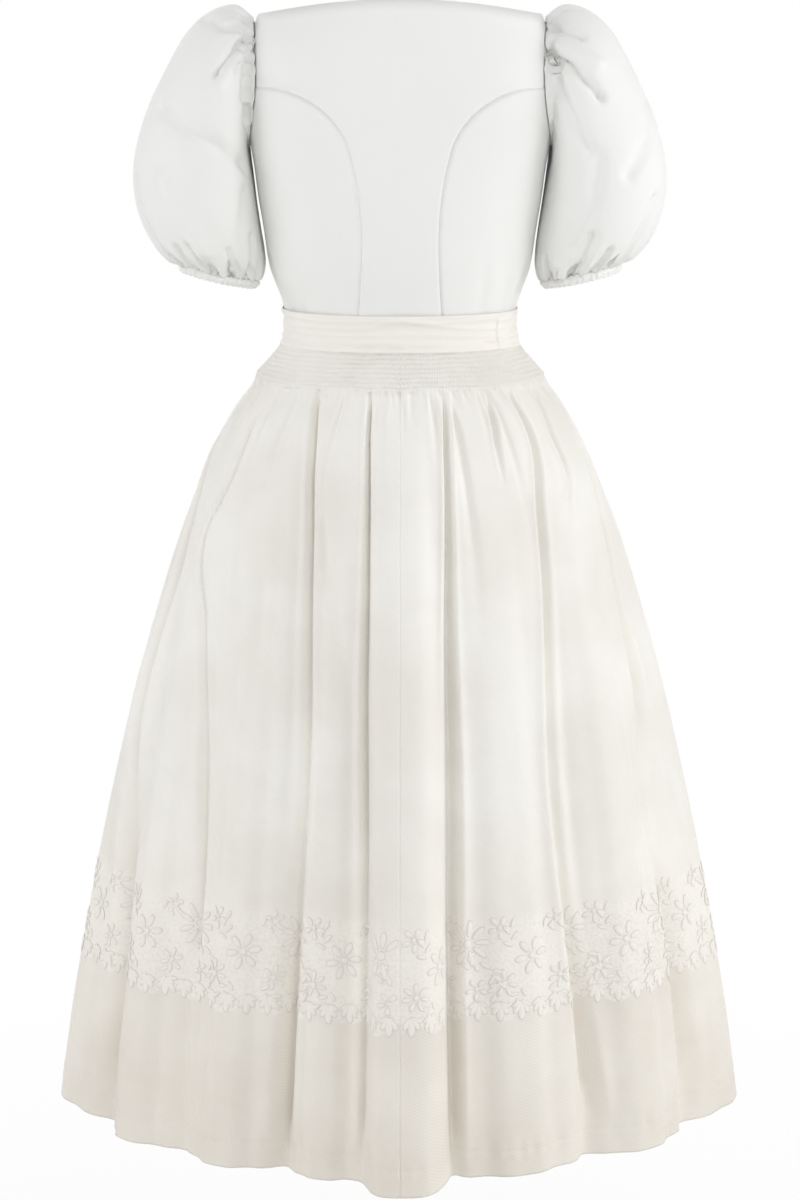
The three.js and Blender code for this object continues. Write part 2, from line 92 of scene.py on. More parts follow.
# Sharp creases in the skirt: width and depth in millimetres, then a path of heights and
# angles from the top down.
SKIRT_CREASES = [
    (5, 7, [(-55, 14.6), (-139, 11.6), (-222, 10.4), (-355, 9.7), (-579, 7.6), (-845, 7.9)]),
    (7, 8, [(-55, 40), (-102, 34.9), (-166, 31.1), (-299, 27.6), (-441, 25.6), (-574, 26.4),
            (-721, 27.5), (-845, 28.2)]),
    (6, 8, [(-60, -21.6), (-91, -19.5), (-218, -15.8), (-438, -14), (-596, -12.9), (-845, -12.5)]),
    (5, 6, [(-58, -42.2), (-103, -38.4), (-150, -37)]),
    (6, 8, [(-60, -52.5), (-96, -53.4), (-165, -49), (-245, -46.4), (-345, -43.5), (-447, -41.8),
            (-583, -43), (-691, -45.1), (-830, -47.8)]),
    (5, 6, [(-60, -66.3), (-100, -62.8), (-142, -62.9), (-200, -54)]),
    (8, 9, [(-108, -82.1), (-184, -76.6), (-281, -72.5), (-376, -72.6), (-468, -68.2),
            (-640, -71.2), (-830, -72.3)]),
    (4, 5, [(-80, 63.6), (-140, 62.7), (-200, 67), (-300, 60), (-455, 53.7), (-579, 51.5),
            (-660, 52.3)]),
    (8, 9, [(-110, 88), (-195, 80.1), (-309, 80.8), (-396, 81.4), (-480, 78.7), (-667, 71.5),
            (-820, 72.4)]),
    (14, 3, [(-230, 42.8), (-380, 39.6)]),
    (14, 2, [(-170, 27.5), (-297, 17.8), (-410, 12.2)]),
    (4, 4, [(-55, -2.4), (-105, -1.6)]),
    (6, 6, [(-60, 118), (-150, 110), (-300, 105), (-620, 102)]),
    (7, 7, [(-58, 142), (-130, 137), (-300, 134), (-560, 133), (-800, 134)]),
    (5, 6, [(-58, 168), (-120, 166), (-340, 164), (-700, 165)]),
    (5, 5, [(-58, 156), (-140, 153), (-230, 151)]),
    (6, 7, [(-58, -169), (-140, -165), (-300, -164), (-640, -163)]),
    (7, 7, [(-58, -139), (-150, -133), (-380, -131), (-780, -130)]),
    (6, 6, [(-60, -118), (-200, -106), (-430, -102), (-760, -101)]),
    (5, 5, [(-60, -152), (-170, -150), (-260, -150)]),
]


def smooth_at(xs, ys, x):
    """Values on a smooth curve through the points, held at its ends."""
    slope = np.gradient(ys, xs)
    i = np.clip(np.searchsorted(xs, x, side="right") - 1, 0, len(xs) - 2)
    span = xs[i + 1] - xs[i]
    t = np.clip((x - xs[i]) / span, 0, 1)
    return (ys[i] * (1 + 2 * t) * (1 - t) ** 2 + slope[i] * span * t * (1 - t) ** 2
            + ys[i + 1] * t * t * (3 - 2 * t) + slope[i + 1] * span * t * t * (t - 1))


def ramp(low, high, x):
    t = np.clip((x - low) / (high - low), 0, 1)
    return t * t * (3 - 2 * t)


def bell(t):
    return np.exp(-2.3 * t ** 2)


def section_point(sections, angle, z):
    half, back, front, power = (
        smooth_at(sections["z"], sections[key], z) for key in ("half", "back", "front", "power"))
    depth = np.where(np.cos(angle) > 0, back, front)
    across = np.abs(np.sin(angle) / half) ** power
    along = np.abs(np.cos(angle) / depth) ** power
    radius = (across + along) ** (-1 / power)
    return radius * np.sin(angle), radius * np.cos(angle)


def turned(degrees):
    """Brings an angle in degrees to between -180 and 180."""
    return (degrees + 180) % 360 - 180


# ---------------------------------------------------------------- skirt form
def make_gathers():
    """Short soft folds that leave the smocking: angle, width, depth, length and lean."""
    gathers = []
    angle = -180.0
    while angle < 180:
        length = RANDOM.choice([28, 48, 85, 150, 260], p=[0.36, 0.28, 0.18, 0.12, 0.06])
        gathers.append((angle, RANDOM.uniform(1.9, 3.2), RANDOM.uniform(2.4, 4.4) + length / 60,
                        length * RANDOM.uniform(0.8, 1.2), RANDOM.uniform(-1.2, 1.2)))
        angle += RANDOM.uniform(1.7, 3.3)
    return gathers


GATHERS = make_gathers()


def fold_reach(angle, z):
    """How far the folds, creases and gathers move the skirt's cloth outwards."""
    degrees = np.degrees(angle)
    pull = np.exp(z / WAIST_PULL)
    reach = np.zeros_like(z)
    for waist, hem, start, depth, half in SKIRT_FOLDS:
        down = np.clip((z - start) / (HEM_Z - start), 0, 1) ** FOLD_GROWTH
        turn = turned(degrees - (hem + (waist - hem) * pull)) / half
        reach += depth * down * (np.exp(-2.3 * turn ** 4) if depth > 0 else bell(turn))
    round_here = smooth_at(SKIRT_SECTIONS["z"], SKIRT_SECTIONS["half"], z) * math.pi / 180
    for width, depth, path in SKIRT_CREASES:
        heights, angles = (np.array(column, float)[::-1] for column in zip(*path))
        wide = width * (0.5 + 0.75 * ramp(-60, -600, z))
        off = turned(degrees - smooth_at(heights, angles, z)) * round_here / wide
        fade = (ramp(heights[0] - 5, heights[0] + 70, z)
                * (1 - ramp(heights[-1] - 26, heights[-1] + 8, z)))
        lip = np.exp(-((np.abs(off) - 2.1) / 1.1) ** 2)
        reach += 1.15 * depth * fade * (0.3 * lip - np.exp(-off ** 2))
    for middle, width, depth, length, lean in GATHERS:
        down = np.clip((SMOCKING_Z - z) / length, 0, 1)
        off = turned(degrees - middle - lean * down) * round_here / (width * (1 + 3.0 * down))
        fade = ramp(0, 0.12, down) * (1 - down) ** 1.3
        reach -= depth * fade * np.exp(-off ** 2)
    return reach


def hem_reach(angle, z):
    """The stitched hem: a fine groove where it is sewn, with little puckers around it."""
    away = np.abs(z - HEM_Z - 27)
    arc = angle * 300
    pucker = (np.sin(arc / 3.1 + 2 * np.sin(arc / 23)) + 0.6 * np.sin(arc / 7.3)) * 0.55
    return pucker * np.exp(-(away / 11) ** 2) - 0.8 * np.exp(-(away / 1.6) ** 2)


def skirt_point(angle, z, out=0.0):
    x, y = section_point(SKIRT_SECTIONS, angle, z)
    radius = np.hypot(x, y)
    grow = (radius + fold_reach(angle, z) + hem_reach(angle, z) + out) / radius
    return np.stack([x * grow, y * grow, z], axis=-1)


# ---------------------------------------------------------------- meshes and pieces
def grid_normals(points, wraps=False):
    """Unit normals of a grid; rows cross columns gives the outside."""
    rows = np.gradient(points, axis=0)
    if wraps:
        columns = (np.roll(points, -1, axis=1) - np.roll(points, 1, axis=1)) / 2
    else:
        columns = np.gradient(points, axis=1)
    normals = np.cross(rows, columns)
    return normals / np.maximum(np.linalg.norm(normals, axis=-1, keepdims=True), 1e-9)


def wall_faces(rows, columns, wraps):
    """Faces of a closed wall: an outer grid, an inner grid and the edges between them."""
    across = columns
    i, j = np.meshgrid(np.arange(rows - 1), np.arange(columns - (not wraps)), indexing="ij")
    k = (j + 1) % across
    outer = np.stack([i * across + j, (i + 1) * across + j, (i + 1) * across + k, i * across + k], -1)
    inner = outer[..., ::-1] + rows * across
    faces = [outer.reshape(-1, 4), inner.reshape(-1, 4)]
    j = np.arange(columns - (not wraps))
    k = (j + 1) % across
    shift = rows * across
    low = np.stack([j, k, k + shift, j + shift], -1)
    top = low[:, ::-1] + (rows - 1) * across
    faces += [low, top]
    if not wraps:
        i = np.arange(rows - 1) * across
        left = np.stack([i + across, i, i + shift, i + across + shift], -1)
        faces += [left, left[:, ::-1] + across - 1]
    return np.concatenate(faces)


def new_piece(name, points, faces, material, uv=None, shade=None):
    """A mesh object from millimetre points that rides with the part."""
    mesh = bpy.data.meshes.new(name)
    mesh.from_pydata((points * MM).tolist(), [], faces.tolist())
    mesh.polygons.foreach_set("use_smooth", np.ones(len(mesh.polygons), bool))
    if uv is not None:
        layer = mesh.uv_layers.new(name="cloth")
        index = np.empty(len(mesh.loops), np.int32)
        mesh.loops.foreach_get("vertex_index", index)
        layer.data.foreach_set("uv", (uv[index] * MM).astype(np.float32).ravel())
    # The edge attribute carries painted shade: the lace material darkens the motif rims with it.
    if shade is not None:
        mesh.attributes.new("edge", "FLOAT", "POINT").data.foreach_set(
            "value", shade.astype(np.float32))
    mesh.materials.append(material)
    piece = bpy.data.objects.new(name, mesh)
    bpy.context.scene.collection.objects.link(piece)
    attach(piece, "root")
    return piece


def cloth_wall(name, points, thickness, material, wraps=False, uv=None):
    """A piece of cloth as a closed wall inside a grid of outer points."""
    rows, columns = points.shape[:2]
    inner = points - grid_normals(points, wraps) * thickness
    both = np.concatenate([points.reshape(-1, 3), inner.reshape(-1, 3)])
    if uv is None:
        uv = np.stack([grid_length(points, 1), grid_length(points, 0)], -1)
    uv = np.tile(uv.reshape(-1, 2), (2, 1))
    return new_piece(name, both, wall_faces(rows, columns, wraps), material, uv)


def grid_length(points, axis):
    """The length along a grid's middle line on one axis, spread over the whole grid."""
    middle = np.take(points, points.shape[1 - axis] // 2, axis=1 - axis)
    steps = np.linalg.norm(np.diff(middle, axis=0), axis=-1)
    length = np.concatenate([[0], np.cumsum(steps)])
    return np.broadcast_to(length if axis == 1 else length[:, None], points.shape[:2])


def press(points, path, width, depth):
    """Moves a grid inwards along a path of points, or outwards where depth is negative."""
    normals = grid_normals(points)
    away = np.full(points.shape[:2], 1e9)
    for start, end in zip(path[:-1], path[1:]):
        along = end - start
        share = np.clip(((points - start) @ along) / (along @ along), 0, 1)
        away = np.minimum(away, np.linalg.norm(points - start - share[..., None] * along, axis=-1))
    return points - normals * (depth * np.exp(-(away / width) ** 2))[..., None]


# ---------------------------------------------------------------- materials
def rgb(red, green, blue):
    """A colour written as it shows on screen, 0 to 255."""
    def linear(value):
        value /= 255
        return value / 12.92 if value <= 0.04045 else ((value + 0.055) / 1.055) ** 2.4
    return (linear(red), linear(green), linear(blue), 1.0)


class Nodes:
    """Short calls for building a material's node tree."""

    def __init__(self, name, roughness, sheen):
        self.material = bpy.data.materials.new(name)
        self.material.use_nodes = True
        self.tree = self.material.node_tree
        self.shader = self.tree.nodes["Principled BSDF"]
        self.shader.inputs["Roughness"].default_value = roughness
        self.shader.inputs["Sheen Weight"].default_value = sheen
        self.shader.inputs["Sheen Roughness"].default_value = 0.5
        self.shader.inputs["Specular IOR Level"].default_value = 0.3

    def add(self, kind, **settings):
        node = self.tree.nodes.new(kind)
        for key, value in settings.items():
            setattr(node, key, value)
        return node

    def link(self, value, socket):
        if isinstance(value, bpy.types.NodeSocket):
            self.tree.links.new(value, socket)
        else:
            socket.default_value = value

    def math(self, operation, first, second=0.0, third=0.0):
        node = self.add("ShaderNodeMath", operation=operation)
        for value, socket in zip((first, second, third), node.inputs):
            self.link(value, socket)
        return node.outputs[0]

    def noise(self, vector, scale, detail=3.0):
        node = self.add("ShaderNodeTexNoise")
        node.inputs["Scale"].default_value = scale
        node.inputs["Detail"].default_value = detail
        self.link(vector, node.inputs["Vector"])
        return node.outputs["Fac"]

    def mix(self, share, first, second):
        node = self.add("ShaderNodeMix", data_type="RGBA")
        self.link(share, node.inputs["Factor"])
        self.link(first, node.inputs["A"])
        self.link(second, node.inputs["B"])
        return node.outputs["Result"]

    def span(self, value, low, high, to_low=0.0, to_high=1.0):
        node = self.add("ShaderNodeMapRange", interpolation_type="SMOOTHSTEP")
        for item, socket in zip((value, low, high, to_low, to_high), node.inputs):
            self.link(item, socket)
        return node.outputs["Result"]

    def uv(self):
        node = self.add("ShaderNodeUVMap", uv_map="cloth")
        parts = self.add("ShaderNodeSeparateXYZ")
        self.link(node.outputs["UV"], parts.inputs[0])
        return node.outputs["UV"], parts.outputs["X"], parts.outputs["Y"]

    def place(self):
        node = self.add("ShaderNodeTexCoord")
        parts = self.add("ShaderNodeSeparateXYZ")
        self.link(node.outputs["Object"], parts.inputs[0])
        return node.outputs["Object"], parts.outputs["Z"]

    def bump(self, height, strength, distance):
        node = self.add("ShaderNodeBump")
        node.inputs["Strength"].default_value = strength
        node.inputs["Distance"].default_value = distance
        self.link(height, node.inputs["Height"])
        self.link(node.outputs["Normal"], self.shader.inputs["Normal"])

    def weave(self, u, v, pitch, twill=False):
        """The height of crossing threads; twill steps the crossings sideways."""
        turn = 2 * math.pi / pitch
        along = self.math("SINE", self.math("MULTIPLY", u, turn))
        if twill:
            v = self.math("ADD", v, self.math("MULTIPLY", u, 0.5))
        across = self.math("SINE", self.math("MULTIPLY", v, turn))
        return self.math("MULTIPLY", along, across)


def plain_cloth(name, colour, shadow, roughness, sheen, pitch):
    """White cotton or satin: fine plain weave, slubs and a faint unevenness of colour."""
    nodes = Nodes(name, roughness, sheen)
    uv, u, v = nodes.uv()
    place, _ = nodes.place()
    patch = nodes.noise(place, 9.0, 4.0)
    slub = nodes.noise(uv, 700.0, 2.0)
    share = nodes.math("MULTIPLY_ADD", slub, 0.25, nodes.math("MULTIPLY", patch, 0.5))
    nodes.link(nodes.mix(share, colour, shadow), nodes.shader.inputs["Base Color"])
    height = nodes.math("MULTIPLY_ADD", slub, 0.8, nodes.weave(u, v, pitch))
    nodes.bump(height, 0.22, 0.0003)
    return nodes.material


def skirt_cloth():
    """Ivory twill that turns beige towards the hem, with a fine dotted weave there and a
    band of lace ground whose lower edge is scalloped."""
    nodes = Nodes("skirt_twill", 0.62, 0.15)
    nodes.shader.inputs["Specular IOR Level"].default_value = 0.35
    uv, u, v = nodes.uv()
    place, z = nodes.place()
    patch = nodes.span(nodes.noise(place, 7.0, 5.0), 0.32, 0.68)
    ivory = nodes.mix(patch, rgb(242, 240, 234), rgb(233, 230, 223))
    beige = nodes.mix(patch, rgb(236, 231, 222), rgb(226, 220, 210))
    colour = nodes.mix(nodes.span(z, -0.46, -0.76), ivory, beige)
    twill = nodes.weave(u, v, 0.0034, twill=True)
    dots = nodes.span(twill, 0.2, 0.9)
    low = nodes.span(z, -0.5, -0.7)
    dotted = nodes.math("MULTIPLY", nodes.math("MULTIPLY", dots, low), 0.28)
    colour = nodes.mix(dotted, colour, rgb(208, 200, 188))
    wave = nodes.math("ABSOLUTE", nodes.math("SINE", nodes.math("MULTIPLY", u, math.pi / 0.052)))
    low_edge = nodes.math("MULTIPLY_ADD", wave, -0.016, -0.672)
    ground = nodes.math("MULTIPLY", nodes.span(z, -0.566, -0.59),
                        nodes.span(nodes.math("SUBTRACT", z, low_edge), -0.001, 0.001))
    mesh_noise = nodes.noise(uv, 260.0, 2.0)
    ground = nodes.math("MULTIPLY", ground, nodes.span(mesh_noise, 0.35, 0.6, 0.25, 0.75))
    colour = nodes.mix(ground, colour, rgb(243, 240, 233))
    nodes.link(colour, nodes.shader.inputs["Base Color"])
    relief = nodes.math("MULTIPLY_ADD", nodes.math("MULTIPLY", ground, mesh_noise), 2.5,
                        nodes.math("MULTIPLY", twill, 0.6))
    nodes.bump(relief, 0.25, 0.0004)
    return nodes.material


def lace_thread():
    """Raised satin stitch: whiter than the ground, with painted shade darkening its outline."""
    nodes = Nodes("lace_thread", 0.75, 0.1)
    edge = nodes.add("ShaderNodeAttribute", attribute_name="edge").outputs["Fac"]
    place, _ = nodes.place()
    thread = nodes.noise(place, 900.0, 2.0)
    colour = nodes.mix(thread, rgb(243, 240, 234), rgb(234, 230, 223))
    # Painted shade: each motif's rim darkens towards rgb(205, 196, 184), standing in for the shadow line
    # along the raised stitch.
    colour = nodes.mix(nodes.span(edge, 0.72, 0.98, 0.0, 0.55), colour, rgb(205, 196, 184))
    nodes.link(colour, nodes.shader.inputs["Base Color"])
    nodes.bump(thread, 0.3, 0.0004)
    return nodes.material


BODICE_CLOTH = plain_cloth("bodice_cotton", rgb(243, 243, 241), rgb(237, 237, 235), 0.8, 0.1, 0.0011)
SASH_CLOTH = plain_cloth("sash_satin", rgb(246, 243, 237), rgb(239, 235, 228), 0.5, 0.2, 0.0007)
SKIRT_CLOTH = skirt_cloth()
LACE_THREAD = lace_thread()


# ---------------------------------------------------------------- skirt pieces
PANELS = [("back_left", 0, 90), ("front_left", 90, 180),
          ("back_right", -90, 0), ("front_right", -180, -90)]
LACE_Z = -640.0


def cloth_arc(from_degrees, to_degrees, z, steps=1500):
    """Angles and the cloth's length around between them at one height."""
    angle = np.radians(np.linspace(from_degrees, to_degrees, steps))
    points = skirt_point(angle, np.full(steps, z))
    steps_long = np.linalg.norm(np.diff(points, axis=0), axis=-1)
    return angle, np.concatenate([[0], np.cumsum(steps_long)])


def skirt_panel(name, low, high):
    heights = np.concatenate([np.linspace(HEM_Z, -800, 22)[:-1], np.linspace(-800, -170, 72)[:-1],
                              np.linspace(-170, -48, 40)])
    seam = -0.01
    angle = np.radians(np.linspace(low + seam, high - seam, 200))
    angles, levels = np.meshgrid(angle, heights)
    points = skirt_point(angles, levels)
    points[:, [0, -1]] = skirt_point(angles[:, [0, -1]], levels[:, [0, -1]], -0.2)
    arc_angle, arc = cloth_arc(low, high, LACE_Z)
    around = np.interp(angle, arc_angle, arc)
    uv = np.stack([np.broadcast_to(around, levels.shape), levels], -1)
    panel = cloth_wall(f"skirt_{name}_cloth", points, 1.0, SKIRT_CLOTH, uv=uv)
    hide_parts(f"skirt_{name}")
    return panel


SMOCKING_ROW = 4.3
CELLS = 64
COLUMNS_PER_CELL = 4


def smocking(name, low, high):
    """Rows of tiny stitched cells over the top of a skirt panel, as many in each row."""
    heights = np.concatenate([np.linspace(SMOCKING_Z - 2, -15, 46), [-8, 0]])
    column = np.arange(CELLS * COLUMNS_PER_CELL + 1)
    angle = np.radians(np.linspace(low, high, len(column)))
    angles, levels = np.meshgrid(angle, heights)
    x, y = section_point(SKIRT_SECTIONS, angles, levels)
    arc = np.degrees(angles) * 2.3
    uneven = np.sin(arc / 17 + levels / 9) + 0.8 * np.sin(arc / 7.3 - levels / 21)
    row = (levels + 0.3 * uneven) / SMOCKING_ROW
    shift = 0.5 * (np.floor(row) % 2) + 0.25 * np.round(2 * (row % 1)) / 2
    cells = np.abs(np.sin(math.pi * (column / COLUMNS_PER_CELL + shift)))
    stitch = np.abs(np.sin(math.pi * row)) ** 0.6
    out = 2.4 * cells * stitch + 0.3 * uneven
    out -= 2.6 * (1 - ramp(SMOCKING_Z - 2, SMOCKING_Z + 3, levels))
    grow = 1 + out / np.hypot(x, y)
    points = np.stack([x * grow, y * grow, levels], -1)
    uv = np.stack([arc, levels], -1)
    return cloth_wall(f"skirt_{name}_smocking", points, 1.6, SKIRT_CLOTH, uv=uv)


# ---------------------------------------------------------------- lace border
def petal(length, width, points=14):
    """The outline of a petal that starts at the origin and grows along +Y."""
    t = np.linspace(0, 2 * math.pi, points, endpoint=False)
    y = length * (0.5 - 0.5 * np.cos(t))
    x = width / 2 * np.sin(t) * (0.72 + 0.28 * (1 - np.cos(t)) / 2)
    return np.stack([x, y], -1)


def turned_shape(shape, degrees, place):
    turn = math.radians(degrees)
    matrix = np.array([[math.cos(turn), math.sin(turn)], [-math.sin(turn), math.cos(turn)]])
    return shape @ matrix + place


def flower(place, size, petals, spin):
    """A ring of petals around a centre with a dot ring."""
    shapes = []
    for k in range(petals):
        turn = spin + 360 * k / petals
        start = turned_shape(np.array([[0, 0.26 * size]]), turn, place)[0]
        shapes.append(turned_shape(petal(0.74 * size, 1.9 * math.pi * size / petals * 0.42), turn, start))
    ring = np.linspace(0, 2 * math.pi, 10, endpoint=False)
    disc = np.stack([np.cos(ring), np.sin(ring)], -1)
    shapes.append(disc * 0.2 * size + place)
    return shapes


def spray(place, size, lean, leaves):
    """A curved stem's leaves, one after the other on alternate sides."""
    shapes = []
    point = np.array(place, float)
    heading = lean
    for k in range(leaves):
        side = 48 if k % 2 else -48
        shapes.append(turned_shape(petal(size, 0.42 * size), heading + side, point))
        step = turned_shape(np.array([[0, 0.52 * size]]), heading, (0, 0))[0]
        point = point + step
        heading += 14
    shapes.append(turned_shape(petal(size, 0.4 * size), heading, point))
    return shapes


LACE_REPEAT = 132.0


def lace_shapes(start):
    """One repeat of the border, as outlines of length around and height."""
    def at(along, up):
        return np.array([start + along, LACE_Z + up])
    shapes = flower(at(20, 34), 25, 9, 8)
    shapes += flower(at(84, 18), 20, 6, 20)
    shapes += flower(at(52, 52), 11, 5, 0) + flower(at(118, 50), 13, 5, 30)
    shapes += flower(at(50, -8), 14, 6, 10) + flower(at(12, -14), 12, 5, 40)
    shapes += flower(at(116, -8), 15, 7, 0)
    shapes += spray(at(34, 12), 13, 65, 4) + spray(at(104, 30), 12, -20, 3)
    shapes += spray(at(66, 44), 11, 70, 3) + spray(at(-4, 6), 12, 150, 4)
    shapes += spray(at(98, -14), 11, 200, 3) + spray(at(64, -22), 12, 110, 3)
    for k in range(6):
        middle = at(11 + 22 * k, -27)
        for lean, long in ((180, 21), (150, 16), (210, 16), (122, 12), (238, 12)):
            shapes.append(turned_shape(petal(long, 0.42 * long), lean, middle))
    return shapes


def lace(name, low, high):
    """Raised motifs sewn along a panel, each a low dome on the cloth."""
    arc_angle, arc = cloth_arc(low, high, LACE_Z)
    count = round(arc[-1] / LACE_REPEAT)
    stretch = arc[-1] / (count * LACE_REPEAT)
    vertices, faces, edge = [], [], []
    for repeat in range(count):
        for shape in lace_shapes(repeat * LACE_REPEAT):
            along = shape[:, 0] * stretch
            if along.min() < 1 or along.max() > arc[-1] - 1:
                continue
            middle = shape.mean(axis=0)
            inner = middle + (shape - middle) * 0.62
            ring = np.concatenate([[middle], inner, shape])
            out = np.concatenate([[1.25], np.full(len(shape), 1.05), np.full(len(shape), 0.3)])
            angle = np.interp(ring[:, 0] * stretch, arc_angle * 0 + arc, arc_angle)
            first = sum(len(part) for part in vertices)
            vertices.append(skirt_point(angle, ring[:, 1], out))
            # Edge runs from 0 in a motif's middle to 1 at its rim, where the material paints shade.
            edge.append(np.concatenate([[0], np.full(len(shape), 0.62), np.ones(len(shape))]))
            size = len(shape)
            for k in range(size):
                n = (k + 1) % size
                faces.append((first, first + 1 + n, first + 1 + k))
                faces.append((first + 1 + k, first + 1 + n, first + 1 + size + n))
                faces.append((first + 1 + k, first + 1 + size + n, first + 1 + size + k))
    return new_piece(f"skirt_{name}_lace", np.concatenate(vertices), np.array(faces),
                     LACE_THREAD, shade=np.concatenate(edge))


def make_skirt():
    for name, low, high in PANELS:
        panel = skirt_panel(name, low, high)
        band = smocking(name, low, high)
        border = lace(name, low, high)


# ---------------------------------------------------------------- bodice form
def bodice_point(angle, z):
    x, y = section_point(BODICE_SECTIONS, angle, z)
    full = bell((np.abs(x) - BUST["x"]) / BUST["wide"]) * bell((z - BUST["z"]) / BUST["high"])
    y = np.where(y < 0, y - BUST["out"] * full, y)
    return np.stack([x, y, z + 0 * x], -1)


def solve_angle(low, high, fall):
    """The angle where a falling function of it reaches zero."""
    low, high = np.array(low, float), np.array(high, float)
    for _ in range(48):
        middle = (low + high) / 2
        above = fall(middle) > 0
        low, high = np.where(above, middle, low), np.where(above, high, middle)
    return (low + high) / 2


def armhole(turn_degrees, wider=0.0):
    turn = np.radians(turn_degrees)
    z = ARMHOLE["z"] + (ARMHOLE["height"] + wider) * np.cos(turn)
    y = (ARMHOLE["depth"] + wider) * np.sin(turn)
    angle = solve_angle(0 * z, 0 * z + math.pi, lambda a: bodice_point(a, z)[..., 1] - y)
    return np.stack([angle, z], -1)


BACK_PRINCESS = table(("z", "x"), [
    (0, 44), (19, 42.5), (60, 40), (100, 39), (140, 42), (174, 48), (199, 56), (217, 68),
    (234, 88), (246, 115)])
FRONT_PRINCESS = table(("z", "x"), [
    (0, 44), (19, 46), (40, 50), (70, 57), (110, 66), (150, 72), (185, 80), (212, 94), (232, 114)])
BODY_RADIUS = 125.0


def princess(rows, turn, steps):
    """A princess seam as even steps from the waist to the armhole: angles and heights."""
    z, x = rows["z"], rows["x"]
    if turn > 0:
        angle = solve_angle(0 * z, 0 * z + math.pi / 2, lambda a: x - bodice_point(a, z)[..., 0])
    else:
        angle = solve_angle(0 * z + math.pi / 2, 0 * z + math.pi,
                            lambda a: bodice_point(a, z)[..., 0] - x)
    places = np.concatenate([np.stack([angle, z], -1), armhole(np.array([turn]))])
    return even(places, steps)


def even(places, steps):
    """The same line in even steps, on a smooth curve."""
    scaled = places * (BODY_RADIUS, 1)
    length = np.concatenate([[0], np.cumsum(np.linalg.norm(np.diff(scaled, axis=0), axis=-1))])
    at = np.linspace(0, length[-1], steps + 1)
    return np.stack([smooth_at(length, places[:, 0], at), smooth_at(length, places[:, 1], at)], -1)


def line(start, end, steps):
    return np.linspace(start, end, steps + 1)


def neck(degrees):
    """The neck edge: nearly level behind, and a round scoop in front."""
    angle = np.radians(degrees)
    x = np.minimum(np.abs(bodice_point(angle, 322 + 0 * angle)[..., 0]) / 147, 1)
    behind = np.cos(angle) >= -1e-9
    z = np.where(behind, 338 - 16 * x ** 2, 238 + 84 * x ** 2.6)
    return np.stack([angle, z], -1)


def fill(left, right, bottom, top):
    """A grid of places inside four edges that share their corners."""
    v = np.linspace(0, 1, len(left))[:, None, None]
    u = np.linspace(0, 1, len(bottom))[None, :, None]
    sides = (1 - u) * left[:, None] + u * right[:, None]
    ends = (1 - v) * bottom[None] + v * top[None]
    corners = ((1 - v) * ((1 - u) * bottom[0] + u * bottom[-1])
               + v * ((1 - u) * top[0] + u * top[-1]))
    return sides + ends - corners


def sew_edges(points, edges):
    """Rolls the seam edges of a panel a little inwards, with a faint swell beside them."""
    lines = {"left": points[:, 0], "right": points[:, -1], "bottom": points[0], "top": points[-1]}
    seam = np.concatenate([lines[edge] for edge in edges])
    flat = points.reshape(-1, 3)
    away = np.full(len(flat), 1e9)
    for part in np.array_split(seam, 12):
        away = np.minimum(away, np.linalg.norm(flat[:, None] - part[None], axis=-1).min(axis=1))
    away = away.reshape(points.shape[:2])
    move = 0.25 * np.exp(-((away - 4) / 2.5) ** 2) - 0.45 * np.exp(-(away / 1.3) ** 2)
    return points + grid_normals(points) * move[..., None]


# Wrinkles pulled into the waist: width, depth and a path of angles and heights.
WAIST_WRINKLES = [
    (5, 3.0, [(80, 72), (77, 42), (71, 20)]), (4, 2.6, [(70, 46), (66, 31), (62, 19)]),
    (5, 2.6, [(-66, 74), (-65, 48), (-67, 22)]), (5, 1.6, [(-49, 68), (-52, 22)]),
    (6, 2.0, [(-78, 60), (-76, 24)]), (5, 2.2, [(104, 66), (110, 24)]),
    (5, 2.2, [(-104, 70), (-112, 24)]), (5, 1.6, [(126, 52), (130, 22)]),
    (5, 1.6, [(-124, 54), (-129, 22)]),
]


def bodice_panel(name, edges, seams):
    places = fill(**edges)
    points = bodice_point(places[..., 0], places[..., 1])
    for width, depth, path in WAIST_WRINKLES:
        angle, z = np.radians([p[0] for p in path]), np.array([p[1] for p in path], float)
        points = press(points, bodice_point(angle, z), width, depth)
    wave = np.sin(points[..., 0] / 23 + points[..., 2] / 31) * np.sin(points[..., 2] / 43)
    points = points + grid_normals(points) * (0.5 * wave)[..., None]
    panel = cloth_wall(f"{name}_cloth", sew_edges(points, seams), 1.4, BODICE_CLOTH)
    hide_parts(name)
    return panel


def other_side(edge):
    return edge * (-1, 1)


